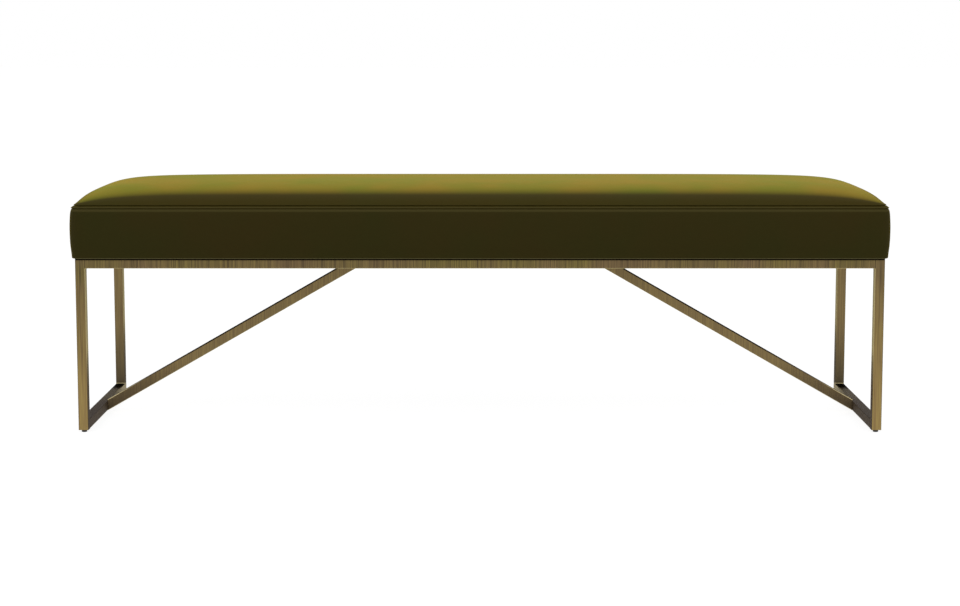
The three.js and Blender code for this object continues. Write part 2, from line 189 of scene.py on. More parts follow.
def seen_directly(tree):
    """1 for what the camera, a reflection or a clear material sees, 0 for the light that falls on things."""
    ray = add(tree, "LightPath").outputs
    mirrored = add(tree, "Math", {0: ray["Is Camera Ray"], 1: ray["Is Glossy Ray"]}, operation="MAXIMUM")
    return add(tree, "Math", {0: mirrored, 1: ray["Is Transmission Ray"]}, operation="MAXIMUM")


def light_world():
    """A white backdrop that gives less light than it shows."""
    world = bpy.data.worlds.new("studio")
    world.use_nodes = True
    scene.world = world
    tree = world.node_tree
    tree.nodes.clear()
    fill = add(tree, "Background", {"Color": "#ffffff", "Strength": 0.62})
    backdrop = add(tree, "Background", {"Color": "#ffffff", "Strength": 1})
    mix = add(tree, "MixShader", {0: seen_directly(tree), 1: fill, 2: backdrop})
    add(tree, "OutputWorld", {"Surface": mix})


def lay_floor():
    """A white floor that melts into the backdrop and keeps a faint shadow of the bench."""
    sheet = bmesh.new()
    bmesh.ops.create_grid(sheet, x_segments=1, y_segments=1, size=40)
    mesh = bpy.data.meshes.new("floor")
    sheet.to_mesh(mesh)
    sheet.free()
    floor = bpy.data.objects.new("floor", mesh)
    scene.collection.objects.link(floor)
    material = bpy.data.materials.new("studio_paper_white")
    material.use_nodes = True
    tree = material.node_tree
    tree.nodes.clear()
    paper = add(tree, "BsdfDiffuse", {"Color": (0.86, 0.86, 0.86, 1)})
    glow = add(tree, "Emission", {"Color": "#ffffff", "Strength": 1.13})
    share = add(tree, "Math", {0: seen_directly(tree), 1: 0.8}, operation="MULTIPLY")
    mix = add(tree, "MixShader", {0: share, 1: paper, 2: glow})
    add(tree, "OutputMaterial", {"Surface": mix})
    mesh.materials.append(material)


def hang_lamp(name, place, size, power):
    """A soft square lamp that faces the middle of the bench."""
    lamp = bpy.data.lights.new(name, "AREA")
    lamp.shape = "SQUARE"
    lamp.size = size
    lamp.energy = power
    held = bpy.data.objects.new(name, lamp)
    held.location = place
    held.rotation_euler = (Vector((0, 0, 0.3)) - Vector(place)).to_track_quat("-Z", "Y").to_euler()
    scene.collection.objects.link(held)


place_camera()
light_world()
lay_floor()
hang_lamp("key", (-1.8, -3.2, 3.4), 2.6, 62)
hang_lamp("fill", (2.4, -2.8, 2.6), 2.6, 36)
hang_lamp("back_light", (0.4, 3.2, 3.0), 2.6, 40)


# Finishes


def start_material(name):
    """A new material, its node tree, its shader, and the object's own space."""
    material = bpy.data.materials.new(name)
    material.use_nodes = True
    tree = material.node_tree
    return material, tree, tree.nodes["Principled BSDF"], add(tree, "TexCoord").outputs["Object"]


def where_all(tree, *limits):
    """The share of a finish where every limit holds. A limit is a share itself, or a measure with its value
    where it starts to hold and its value where it holds fully."""
    share = 1
    for limit in limits:
        if isinstance(limit, tuple):
            measure, start, full = limit
            limit = add(tree, "MapRange", {"Value": measure, "From Min": start, "From Max": full})
        share = add(tree, "Math", {0: share, 1: limit}, operation="MULTIPLY")
    return share


def where_any(tree, *shares):
    """The share of a finish where at least one of these holds."""
    largest = shares[0]
    for share in shares[1:]:
        largest = add(tree, "Math", {0: largest, 1: share}, operation="MAXIMUM")
    return largest


def laid_over(tree, colour, other, *shares):
    """A colour with another laid over it where any of the shares holds."""
    share = where_any(tree, *shares)
    return add(tree, "Mix", {0: share, 6: colour, 7: other}, data_type="RGBA").outputs[2]


# Where the velvet's painted light changes, by height: where each zone starts and where it is full
NEAR_SEAM = (0.4680, 0.4655)
ABOVE_SEAM = (0.4622, 0.4628)
FREE_OF_SEAM = (0.4624, 0.4630)
RIDGE_FOOT = (0.4574, 0.4582)
RIDGE_HEAD = (0.4602, 0.4596)
SHOULDER_FOOT = (0.4490, 0.4515)
SHOULDER_HEAD = (0.4562, 0.4552)
BOTTOM_EDGE = (0.375, 0.365)


def cut_pile_velvet():
    """Polyester velvet with a short cut pile. Straight on it is a deep dull olive, because the light goes
    down between the hairs, and at a glance the tips of the hairs light up gold. Light and shade are also
    painted into its colour: a painted sheen on the faces of the top that look up, painted light on upward
    slopes and just above the seam, and painted highlights on the ridge, the shoulder and the bottom edge.
    The sides keep the plain dark olive."""
    material, tree, shader, place = start_material("velvet_cut_pile_olive")
    # Clouds of nap 160 mm across, leaning to gold or to green, and within them patches of 55 mm
    clouds = add(tree, "TexNoise", {"Vector": place, "Scale": 6, "Detail": 2, "Roughness": 0.6})
    patches = add(tree, "TexNoise", {"Vector": place, "Scale": 18, "Detail": 2, "Roughness": 0.55})
    green = where_all(tree, (clouds, 0.35, 0.65))
    own_olive = laid_over(tree, "#2c2508", "#292608", green)
    slope_light = laid_over(tree, "#362e0c", "#342f0d", green)
    flat = laid_over(tree, "#7e6a19", "#686b14", green)
    height = add(tree, "SeparateXYZ", {0: place}).outputs["Z"]
    normal = add(tree, "NewGeometry").outputs["Normal"]
    up = add(tree, "SeparateXYZ", {0: normal}).outputs["Z"]
    # Painted light: a lighter colour on slopes that face up, and in a band just above the seam where the top
    # panel turns in
    lit_above_seam = where_all(tree, (height, *NEAR_SEAM), (height, *ABOVE_SEAM))
    colour = laid_over(tree, own_olive, slope_light, where_all(tree, (up, 0.25, 0.5)), lit_above_seam)
    # Painted sheen: the faces of the top that look up, clear of the seam, take a much lighter gold-olive
    level = add(
        tree, "MapRange", {"Value": up, "From Min": 0.89, "From Max": 0.985}, interpolation_type="SMOOTHSTEP"
    )
    colour = laid_over(tree, colour, flat, where_all(tree, level, (height, *FREE_OF_SEAM)))
    # Painted highlights on the side of the ridge and on the shoulder below the stitching, and a painted sheen
    # along the bottom edge where the band turns under
    ridge = where_all(tree, (height, *RIDGE_FOOT), (height, *RIDGE_HEAD))
    shoulder = where_all(tree, (height, *SHOULDER_FOOT), (height, *SHOULDER_HEAD), 0.9)
    colour = laid_over(tree, colour, "#3c3618", ridge, shoulder)
    bottom_edge_sheen = where_all(tree, (up, -0.15, -0.6), (height, *BOTTOM_EDGE))
    colour = laid_over(tree, colour, "#5e593c", bottom_edge_sheen)
    # Tufts stand 0.4 mm apart, drawn at 1.4 mm, which the photograph's distance can still show
    tufts = add(tree, "TexNoise", {"Vector": place, "Scale": 700, "Detail": 2, "Roughness": 0.7})
    pile = add(tree, "Bump", {"Height": tufts, "Strength": 0.5, "Distance": 0.00025})
    lean = add(tree, "Bump", {"Height": patches, "Strength": 1, "Distance": 0.0003, "Normal": pile})
    wire(
        tree,
        shader,
        {
            "Base Color": colour,
            "Roughness": 0.9,
            "Specular IOR Level": 0.1,
            "Sheen Weight": 0.42,
            "Sheen Roughness": 0.32,
            "Sheen Tint": "#d6be40",
            "Normal": lean,
        },
    )
    return material


# Where the frame's finish and its painted light and shade change, by height or by place along or across
# the bench: where each zone starts and where it is full
SET_BACK = (-0.215, -0.200)
OUTER_FACES = (HALF_Y - 0.007, HALF_Y - 0.001)
LIT_LOW_LEGS = (0.320, 0.070)
BELOW_TOP_RAIL = (FRAME_TOP - TUBE + 0.0002, FRAME_TOP - TUBE - 0.0002)
KNEE = (0.080, 0.170)
FAR_HALF = (-0.020, 0.050)
BACK_LEGS = (0.100, 0.200)
LEG_FOOT = (0.160, 0.030)
BRACE_FOOT = (0.110, 0.020)
FLOOR_RAIL = (0.026, 0.025)
LIT_RAIL_END = (0.080, 0.200)
BRACE_DEPTH = (0.0105, 0.0103)
BRACE_WIDTH = (BRACE_OUTER + 0.0001, BRACE_OUTER)
BRACE_EDGES = (0.0060, 0.0075)
BRACE_RIM = (TUBE - 0.0022, TUBE - 0.0012)
BRACE_THIN_RIM = (TUBE - 0.0012, TUBE - 0.0008)
BLACK_ABOVE = (0.060, 0.140)
BRIGHT_BELOW = (0.075, 0.040)
WELD_FOOT = (0.0247, 0.0253)
WELD_HEAD = (0.0272, 0.0266)
WELD_PLACE = (0.200, 0.210)
LEG_SHADOW_PLACE = (0.140, 0.200)
SEAT_SHADOW_LINE = (0.3517, 0.3523)
SEAT_SHADE = (0.3495, 0.3517)


def brass_tones(tree, at, outer, lines, drift):
    """The tones of the brushed metal, from the deep ones in the lines to the bright ones between them, with
    painted light on the braces and back legs and low on the outer faces of the legs.
    """
    tone = where_all(tree, (drift, 0.35, 0.65))
    share = where_all(tree, (lines, 0.36, 0.64))
    deep = laid_over(tree, "#554735", "#524830", tone)
    bright = laid_over(tree, "#7d6948", "#7e7040", tone)
    brushed = laid_over(tree, deep, bright, share)
    # Painted light: everything behind the front legs and rail, the braces and back legs among it, is lighter
    painted_lighter = laid_over(tree, "#6d5c42", "#85734b", share)
    colour = laid_over(tree, brushed, painted_lighter, where_all(tree, (at["Y"], *SET_BACK)))
    # Painted light on the outer faces, most of all low on the legs
    rubbed_and_lit = laid_over(tree, "#7d6646", "#9e8953", share)
    return laid_over(tree, colour, rubbed_and_lit, where_all(tree, outer, (at["Z"], *LIT_LOW_LEGS)))


def brace_rims(tree, at, away, on_brace):
    """The two long upper edges of the braces: a painted dark reflection above the knee, and a thin painted
    highlight at the foot.
    """
    # Height square to the brace's underside
    rise, run = math.cos(BRACE_SLOPE), math.sin(BRACE_SLOPE)
    lowest = -GLIDE * rise - BRACE_OUTER * run
    raised = add(tree, "Math", {0: at["Z"], 1: rise, 2: lowest}, operation="MULTIPLY_ADD")
    across = add(tree, "Math", {0: away["X"], 1: run, 2: raised}, operation="MULTIPLY_ADD")
    edges = where_all(tree, on_brace, (away["Y"], *BRACE_EDGES))
    black = where_all(tree, edges, (across, *BRACE_RIM), (at["Z"], *BLACK_ABOVE))
    bright = where_all(tree, edges, (across, *BRACE_THIN_RIM), (at["Z"], *BRIGHT_BELOW))
    return black, bright


def brushed_brass():
    """Steel tube plated in antique brass, brushed upright and lacquered satin: brown-grey metal with lighter
    golden hairlines. Light and shade are painted into its colour: painted light low on the outer faces of
    the legs and on the braces and back legs, and painted highlights on faces that look in and on the round
    lower edges. There is painted shade and dark reflection on upward faces, round the corners of the tube,
    on faces that look in, at the feet of the back legs and braces and along the braces' upper edges, and a
    painted shadow close under the seat."""
    material, tree, shader, place = start_material("antique_brass_brushed")
    normal = add(tree, "NewGeometry").outputs["Normal"]
    at = add(tree, "SeparateXYZ", {0: place}).outputs
    facing = add(tree, "SeparateXYZ", {0: normal}).outputs
    away, turned = [
        add(tree, "SeparateXYZ", {0: add(tree, "VectorMath", {0: vector}, operation="ABSOLUTE")}).outputs
        for vector in (place, normal)
    ]
    # Brush lines 0.3 mm wide, drawn 1.6 mm wide and 120 mm long so that they show across a room
    along = add(tree, "Mapping", {"Vector": place, "Scale": (620, 620, 8)})
    lines = add(tree, "TexNoise", {"Vector": along, "Scale": 1, "Detail": 4, "Roughness": 0.65})
    # A second set is as fine as the real ones, for a close look
    finer = add(tree, "Mapping", {"Vector": place, "Scale": (2600, 2600, 30)})
    hairs = add(tree, "TexNoise", {"Vector": finer, "Scale": 1, "Detail": 2})
    # The tone drifts over 90 mm, as hand-rubbed plating does
    drift = add(tree, "TexNoise", {"Vector": place, "Scale": 11, "Detail": 2})
    outer = where_all(tree, (away["Y"], *OUTER_FACES))
    colour = brass_tones(tree, at, outer, lines, drift)
    # Painted highlights on the faces that look in, from under the top rail down to the knee of the legs, and
    # on the round lower edges
    inwards = add(tree, "Math", {0: facing["X"], 1: at["X"]}, operation="MULTIPLY")
    inner = where_all(tree, (inwards, -0.05, -0.15), (at["Z"], *BELOW_TOP_RAIL))
    lower_edges = where_all(tree, (facing["Z"], -0.1, -0.4), (facing["Z"], -0.99, -0.98))
    painted_highlight = where_any(tree, where_all(tree, inner, (at["Z"], *KNEE)), lower_edges)
    colour = laid_over(tree, colour, "#c4b582", where_all(tree, painted_highlight, 0.85))
    # Painted shade and dark reflections round the corners of the tube, on upward faces, on faces that look
    # in, and at the feet of the back legs and braces, except where highlights are painted
    on_brace = where_all(tree, (away["Y"], *BRACE_DEPTH), (away["X"], *BRACE_WIDTH))
    straightest = where_any(tree, turned["X"], turned["Y"], turned["Z"])
    corners = where_all(tree, (straightest, 0.985, 0.93), 0.7)
    tops = where_all(tree, (facing["Z"], 0.1, 0.5))
    far = where_all(tree, (at["Y"], *BACK_LEGS))
    behind = add(tree, "Math", {0: far, 1: outer}, operation="SUBTRACT")
    leg_foot = where_all(tree, behind, (at["Z"], *LEG_FOOT), 0.8)
    brace_foot = where_all(tree, on_brace, (at["Z"], *BRACE_FOOT), 0.75)
    off_highlight = add(tree, "Math", {0: 1, 1: painted_highlight}, operation="SUBTRACT")
    shaded = where_any(tree, corners, tops, where_all(tree, inner, 0.9), leg_foot, brace_foot)
    painted_shade = where_all(tree, shaded, off_highlight)
    dark = laid_over(tree, "#4c4034", "#5c5240", where_all(tree, (at["Y"], *FAR_HALF)))
    colour = laid_over(tree, colour, dark, painted_shade)
    # Painted light on the floor rail's inner face, towards the back leg
    worn_and_lit = where_all(tree, inner, (at["Z"], *FLOOR_RAIL), (at["Y"], *LIT_RAIL_END), 0.9)
    colour = laid_over(tree, colour, "#b5a886", worn_and_lit)
    # Painted dark reflection and highlight on the braces' edges, a painted highlight along the weld round the
    # foot of the back legs, and a painted shadow on the floor rails' tops beside it
    black, bright = brace_rims(tree, at, away, on_brace)
    colour = laid_over(tree, colour, "#0b0904", black)
    weld_line = where_all(tree, (at["Z"], *WELD_FOOT), (at["Z"], *WELD_HEAD))
    weld_highlight = where_all(tree, weld_line, (at["Y"], *WELD_PLACE), (facing["Y"], -0.3, -0.6))
    colour = laid_over(tree, colour, "#cdbd8f", bright, weld_highlight)
    shadow_by_back_leg = where_all(tree, tops, (at["Y"], *LEG_SHADOW_PLACE))
    colour = laid_over(tree, colour, "#0f0d0a", where_all(tree, shadow_by_back_leg, 0.9))
    # Painted shadow close under the cushion: a dark line, and a softer shade below it
    seat_shade = where_all(tree, (at["Z"], *SEAT_SHADE), 0.25)
    shadow_under_seat = where_any(tree, where_all(tree, (at["Z"], *SEAT_SHADOW_LINE)), seat_shade)
    colour = laid_over(tree, colour, "#050300", shadow_under_seat)
    # Where shade, highlights or the shadow under the seat are painted the plating is less metallic and
    # rougher, but less so on upward faces and where the dark shadow and reflections are painted
    upward = where_all(tree, tops, 0.4)
    dulled = add(tree, "Math", {0: painted_shade, 1: upward}, operation="SUBTRACT")
    dulled = where_any(tree, dulled, shadow_under_seat, where_all(tree, painted_highlight, 0.7))
    painted_dark = where_any(tree, shadow_by_back_leg, black)
    dulled = add(tree, "Math", {0: dulled, 1: painted_dark}, operation="SUBTRACT")
    bare = add(tree, "MapRange", {"Value": dulled, "To Min": 1, "To Max": 0.25})
    smooth = {"Value": lines, "From Min": 0.3, "From Max": 0.7, "To Min": 0.42, "To Max": 0.3}
    matt = {"Value": bare, "From Min": 0.25, "From Max": 1, "To Min": 0.3, "To Max": 0}
    rough = add(
        tree, "Math", {0: add(tree, "MapRange", smooth), 1: add(tree, "MapRange", matt)}, operation="ADD"
    )
    scratches = add(tree, "Bump", {"Height": hairs, "Strength": 0.35, "Distance": 0.00004})
    grooves = add(tree, "Bump", {"Height": lines, "Strength": 0.5, "Distance": 0.00012, "Normal": scratches})
    wire(
        tree,
        shader,
        {
            "Base Color": colour,
            "Metallic": bare,
            "Roughness": rough,
            "Specular IOR Level": 0.15,
            "Specular Tint": "#3c342a",
            "Normal": grooves,
        },
    )
    return material


def moulded(name, colour, worn_and_lit, roughness, grain):
    """Moulded plastic: even colour, a fine spark-eroded grain, and paler in patches of wear."""
    material, tree, shader, place = start_material(name)
    rubbed_and_lit = add(tree, "TexNoise", {"Vector": place, "Scale": 260, "Detail": 3})
    eroded = add(tree, "TexNoise", {"Vector": place, "Scale": grain, "Detail": 2})
    colour = laid_over(tree, colour, worn_and_lit, where_all(tree, (rubbed_and_lit, 0.55, 0.8)))
    bump = add(tree, "Bump", {"Height": eroded, "Strength": 0.4, "Distance": 0.00006})
    wire(tree, shader, {"Base Color": colour, "Roughness": roughness, "Normal": bump})
    return material


def zinc_plate():
    """Bright zinc on steel: blue-grey, faintly yellow in blotches 4 mm across, with a satin gloss."""
    material, tree, shader, place = start_material("steel_zinc_plated")
    blotch = add(tree, "TexNoise", {"Vector": place, "Scale": 240, "Detail": 3})
    colour = laid_over(tree, "#b3b8bd", "#bdb8a6", where_all(tree, (blotch, 0.4, 0.65)))
    satin = {"Value": blotch, "From Min": 0.3, "From Max": 0.7, "To Min": 0.26, "To Max": 0.4}
    rough = add(tree, "MapRange", satin)
    wire(tree, shader, {"Base Color": colour, "Metallic": 1, "Roughness": rough})
    return material


def planed_pine():
    """Bare pine, planed: pale straw wood with darker lines of late growth 4 mm apart along the board."""
    material, tree, shader, place = start_material("pine_planed")
    bent = add(tree, "TexNoise", {"Vector": place, "Scale": 3, "Detail": 2}).outputs["Color"]
    grown = add(tree, "Mix", {0: 0.04, 4: place, 5: bent}, data_type="VECTOR").outputs[1]
    rings = add(
        tree,
        "TexWave",
        {"Vector": grown, "Scale": 80, "Distortion": 5, "Detail": 2, "Detail Scale": 0.6},
        wave_type="BANDS",
        bands_direction="Z",
    ).outputs["Fac"]
    colour = laid_over(tree, "#d9b981", "#b98a52", where_all(tree, (rings, 0.2, 0.95)))
    bump = add(tree, "Bump", {"Height": rings, "Strength": 0.3, "Distance": 0.0001})
    wire(tree, shader, {"Base Color": colour, "Roughness": 0.62, "Normal": bump})
    return material


def birch_plywood():
    """Birch plywood: a pale face with fine short grain, and plies 1.5 mm thick on its edge."""
    material, tree, shader, place = start_material("plywood_birch")
    along = add(tree, "Mapping", {"Vector": place, "Scale": (12, 300, 660)})
    grain = add(tree, "TexNoise", {"Vector": along, "Scale": 1, "Detail": 3})
    colour = laid_over(tree, "#cfae7c", "#a87f4f", where_all(tree, (grain, 0.35, 0.7)))
    wire(tree, shader, {"Base Color": colour, "Roughness": 0.6})
    return material


def cut_foam():
    """Cut upholstery foam: cream, matt, with open cells 1 mm across."""
    material, tree, shader, place = start_material("polyurethane_foam_cut")
    cells = add(tree, "TexVoronoi", {"Vector": place, "Scale": 900})
    colour = laid_over(tree, "#cdbf97", "#e6dcbb", where_all(tree, (cells, 0.1, 0.6)))
    bump = add(tree, "Bump", {"Height": cells, "Distance": 0.0004})
    wire(tree, shader, {"Base Color": colour, "Roughness": 0.95, "Normal": bump})
    return material


def fibre_wadding():
    """Polyester wadding: white matted fibre with loose hairs a few millimetres long."""
    material, tree, shader, place = start_material("polyester_wadding")
    tangle = {"Vector": place, "Scale": 260, "Detail": 5, "Roughness": 0.8, "Distortion": 3}
    hairs = add(tree, "TexNoise", tangle)
    colour = laid_over(tree, "#dcdcd6", "#f6f6f2", hairs)
    bump = add(tree, "Bump", {"Height": hairs, "Strength": 0.8, "Distance": 0.001})
    wire(tree, shader, {"Base Color": colour, "Roughness": 1, "Sheen Weight": 0.3, "Normal": bump})
    return material


def spunbonded_lining():
    """Black spunbonded polypropylene: a felted sheet, heat-sealed in a grid of small pressed dots."""
    material, tree, shader, place = start_material("polypropylene_spunbonded_black")
    # The dots stand 1.5 mm apart, drawn 3 mm apart, with fibres between them
    dots = add(tree, "TexVoronoi", {"Vector": place, "Scale": 333, "Randomness": 0.15})
    fibres = add(tree, "TexNoise", {"Vector": place, "Scale": 420, "Detail": 4, "Distortion": 2})
    colour = laid_over(tree, "#121213", "#2c2c2e", fibres)
    pressed = where_all(tree, (dots, 0.15, 0.4))
    felt = add(tree, "Bump", {"Height": fibres, "Strength": 0.5, "Distance": 0.0002})
    bump = add(tree, "Bump", {"Height": pressed, "Strength": 0.6, "Distance": 0.0003, "Normal": felt})
    wire(tree, shader, {"Base Color": colour, "Roughness": 0.85, "Normal": bump})
    return material


def twisted_thread():
    """Bonded polyester thread, a shade greener than the pile, with a slight gloss on its twist."""
    material, tree, shader, place = start_material("polyester_thread_twisted")
    plies = add(tree, "TexNoise", {"Vector": place, "Scale": 2200, "Detail": 1})
    colour = laid_over(tree, "#1c1906", "#30290c", plies)
    bump = add(tree, "Bump", {"Height": plies, "Strength": 0.5, "Distance": 0.0001})
    wire(
        tree, shader, {"Base Color": colour, "Roughness": 0.6, "Specular IOR Level": 0.05, "Normal": bump}
    )
    return material


velvet = cut_pile_velvet()
brass = brushed_brass()
nylon = moulded("nylon_moulded_black", "#0d0d0d", "#242321", 0.5, 1500)
plug_plastic = moulded("polyethylene_moulded_black", "#161616", "#2b2b2a", 0.62, 1100)
zinc = zinc_plate()
pine = planed_pine()
plywood = birch_plywood()
foam = cut_foam()
wadding = fibre_wadding()
lining = spunbonded_lining()
thread = twisted_thread()

# What the CAD nodes that stay are made of, by the start of their names
NODE_FINISHES = {
    "leg_": brass,
    "rail_": brass,
    "end_rail_": brass,
    "floor_rail_": brass,
    "cross_bar_": brass,
    "glide_insert_": plug_plastic,
    "seat_insert_": zinc,
    "seat_board_": pine,
    "seat_slat_": pine,
    "corner_block_": pine,
    "seat_deck": plywood,
}


def finish_nodes():
    """Gives each CAD node that stays in sight its finish."""
    for name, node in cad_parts.items():
        for start, material in NODE_FINISHES.items():
            if name.startswith(start):
                for slot in node.material_slots:
                    slot.material = material


finish_nodes()


# Making pieces


def piece(body, name, material, rides, stands_for):
    """Turns a bmesh into a finished piece on its CAD body, in place of the CAD nodes that it stands for."""
    for face in body.faces:
        face.smooth = True
    mesh = bpy.data.meshes.new(name)
    body.to_mesh(mesh)
    body.free()
    mesh.materials.append(material)
    made = bpy.data.objects.new(name, mesh)
    scene.collection.objects.link(made)
    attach(made, rides)
    if stands_for:
        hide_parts(*stands_for)
    return made


def in_metres(rows):
    """Rows or profile points given in millimetres."""
    return [(across * MM, height * MM) for across, height in rows]


def spun(profile, steps):
    """A turned body round Z, from (radius, height) points in millimetres."""
    body = bmesh.new()
    line = [body.verts.new((radius, 0, height)) for radius, height in in_metres(profile)]
    edges = [body.edges.new(pair) for pair in zip(line, line[1:])]
    bmesh.ops.spin(
        body,
        geom=line + edges,
        cent=(0, 0, 0),
        axis=(0, 0, 1),
        angle=2 * math.pi,
        steps=steps,
        use_merge=True,
    )
    bmesh.ops.remove_doubles(body, verts=body.verts, dist=1e-6)
    return body


def arc(centre, radius, first, last, steps):
    """Points on a quarter or so of a circle in a profile, by angles in degrees from outwards."""
    points = []
    for step in range(steps + 1):
        angle = math.radians(first + (last - first) * step / steps)
        points.append((centre[0] + radius * math.cos(angle), centre[1] + radius * math.sin(angle)))
    return points


# Braces


def rounded_square(half, radius):
    """Points round a square with round corners, and near the ends of its flats."""
    points = []
    for quarter, (x, y) in enumerate(((1, 1), (-1, 1), (-1, -1), (1, -1))):
        bend = arc((x * (half - radius), y * (half - radius)), radius, 90 * quarter, 90 * quarter + 90, 4)
        if quarter % 2:
            before = (bend[0][0] - math.copysign(FLAT_MARGIN, x), bend[0][1])
            after = (bend[-1][0], bend[-1][1] - math.copysign(FLAT_MARGIN, y))
        else:
            before = (bend[0][0], bend[0][1] - math.copysign(FLAT_MARGIN, y))
            after = (bend[-1][0] - math.copysign(FLAT_MARGIN, x), bend[-1][1])
        points += [before, *bend, after]
    return points


def make_braces():
    """The braces with their long edges round. Each end is cut upright, against the floor rail or the cross
    bar."""
    for side, way in (("left", -1), ("right", 1)):
        body = bmesh.new()
        rims = []
        for x in (BRACE_OUTER, BRACE_OUTER - FLAT_MARGIN, BRACE_INNER + FLAT_MARGIN, BRACE_INNER):
            bottom = GLIDE + (BRACE_OUTER - x) * math.tan(BRACE_SLOPE)
            ring = [
                body.verts.new((way * x, across, bottom + (TUBE / 2 + up) / math.cos(BRACE_SLOPE)))
                for across, up in rounded_square(TUBE / 2, TUBE_CORNER)
            ]
            rims.append([body.edges.new(pair) for pair in zip(ring, ring[1:] + ring[:1])])
        for first, second in zip(rims, rims[1:]):
            bmesh.ops.bridge_loops(body, edges=first + second)
        for rim in (rims[0], rims[-1]):
            bmesh.ops.contextual_create(body, geom=rim)
        bmesh.ops.recalc_face_normals(body, faces=body.faces)
        piece(body, f"brace_{side}_rounded", brass, "bench", [f"brace_{side}"])


make_braces()


# Cushion


def crowded(share):
    """Draws grid lines towards the edge, where the cushion turns over."""
    return (1 - CROWDING) * share + CROWDING * math.sin(share * math.pi / 2)


def in_plan(u, v, offset):
    """Where a point of the square grid lies on the seat's outline with round corners, moved out by offset."""
    half_x = HALF_X + offset
    half_y = HALF_Y + offset
    corner = CORNER + offset
    x = abs(u) * half_x
    y = abs(v) * half_y
    a = (x - half_x + corner) / corner
    b = (y - half_y + corner) / corner
    if a > 0 and b > 0:
        x += corner * a * (math.sqrt(1 - b * b / 2) - 1)
        y += corner * b * (math.sqrt(1 - a * a / 2) - 1)
    return math.copysign(x, u), math.copysign(y, v)


def crown_share(u, v):
    """How much of the crown's rise a place has, from 0 along the seam to 1 in the middle."""
    fall = LEFT_FALL if u < 0 else RIGHT_FALL
    along = max(0.0, 1 - abs(u) ** LONG_SQUARENESS) ** fall * (1 - END_DROOP * abs(u) ** 6)
    return along * max(0.0, 1 - abs(v) ** SHORT_SQUARENESS) ** SHORT_FALL


def crowned_sheet(columns, rows, offset, edge_z, rise):
    """A grid shaped to the seat's outline and raised into its crown."""
    sheet = bmesh.new()
    bmesh.ops.create_grid(sheet, x_segments=columns, y_segments=rows, size=1)
    for vert in sheet.verts:
        u = crowded(vert.co.x)
        v = crowded(vert.co.y)
        x, y = in_plan(u, v, offset)
        vert.co = (x, y, edge_z + rise * crown_share(u, v))
    return sheet


def drawn_in(point):
    """Sews the seam tighter at the ends of the cushion: the crown draws in, the ridge comes up to its lip,
    and the groove of the top stitching gets shallower."""
    end = max(0.0, min(1.0, (abs(point.x) - TIGHT_FROM) / TIGHT_RUN))
    crown = max(0.0, min(1.0, (point.z - CROWN_FOOT) / CROWN_REACH))
    ridge = max(0.0, 1 - abs(point.z - RIDGE_MIDDLE) / RIDGE_REACH)
    groove = max(0.0, 1 - abs(point.z - GROOVE_MIDDLE) / GROOVE_REACH)
    outwards = end * (GROOVE_FILL * groove - CROWN_DRAWN * crown)
    x = point.x + outwards * math.copysign(1, point.x)
    return Vector((x, point.y, point.z + RIDGE_LIFT * end * ridge))


def at_offset(point, offset, height):
    """The point straight out from the seat's outline, or in from it, at that offset."""
    if CORNER + offset < MM:
        limit_x = HALF_X + offset
        limit_y = HALF_Y + offset
        x = max(-limit_x, min(limit_x, point.x))
        y = max(-limit_y, min(limit_y, point.y))
        return Vector((x, y, height))
    flat_x = HALF_X - CORNER
    flat_y = HALF_Y - CORNER
    core = Vector((max(-flat_x, min(flat_x, point.x)), max(-flat_y, min(flat_y, point.y))))
    out = (point.xy - core).normalized() * (CORNER + offset)
    return Vector((core.x + out.x, core.y + out.y, height))


def hem(sheet, rim, rows):
    """Extrudes a rim through rows of (offset, height) and returns the last rim."""
    for offset, height in rows:
        grown = bmesh.ops.extrude_edge_only(sheet, edges=rim)["geom"]
        for part in grown:
            if isinstance(part, bmesh.types.BMVert):
                part.co = at_offset(part.co, offset, height)
        rim = [part for part in grown if isinstance(part, bmesh.types.BMEdge) and part.is_boundary]
    return rim


def open_rim(sheet, highest=True):
    """The boundary edges of a sheet, of its highest or its lowest rim."""
    edges = [edge for edge in sheet.edges if edge.is_boundary]
    heights = [edge.verts[0].co.z for edge in edges]
    middle = (min(heights) + max(heights)) / 2
    if max(heights) - min(heights) < MM:
        return edges
    return [edge for edge in edges if (edge.verts[0].co.z > middle) == highest]


# Rows of the cover in millimetres from the frame's outline and above the floor. The top panel turns in to
# the seam. From there the band goes over the ridge of seam allowance, into the groove of the top
# stitching, over the shoulder, down the side, and in under the seat.
TURN_ROWS = [
    (2.9, 462.6),
    (2.0, 462.2),
    (0.0, 462.1),
    (-2.5, 462.0),
]
RIDGE_ROWS = [
    (-2.5, 460.5),
    (2.2, 460.3),
    (3.0, 460.1),
    (3.8, 459.7),
    (4.8, 459.0),
    (6.0, 458.1),
    (6.8, 457.5),
    (7.1, 457.0),
    (6.8, 456.6),
    (5.7, 456.4),
    (4.8, 456.1),
    (4.8, 455.7),
    (5.6, 455.1),
    (6.8, 454.2),
    (7.9, 452.8),
    (8.6, 451.0),
]
SIDE_ROWS = [
    (9.2, 448.4),
    (9.9, 445.0),
    (10.5, 440),
    (11.45, 430),
    (12.2, 418),
    (12.25, 409),
    (12.1, 400),
    (11.7, 390),
    (10.8, 380),
    (9.5, 371),
    (8.6, 365.5),
]
UNDER_ROWS = [
    (8.2, 362.6),
    (7.95, 358.1),
    (7.8, 356.6),
    (7.4, 355.6),
    (6.6, 355.15),
    (5.0, 355.1),
    (0.0, 355.3),
    (-10.5, 355.7),
]
FOLDED_ROWS = [(-24, 355.8)]
# How much the sides and the crown are slack before they are filled
SIDE_SLACK = 0.0010
CROWN_SLACK = 0.0012
# How long the filling takes, how far it may push the cloth out, and over how many grid steps the weave
# evens that
FILLING_FRAMES = 20
SWELL = 0.0022
EVENING = 40


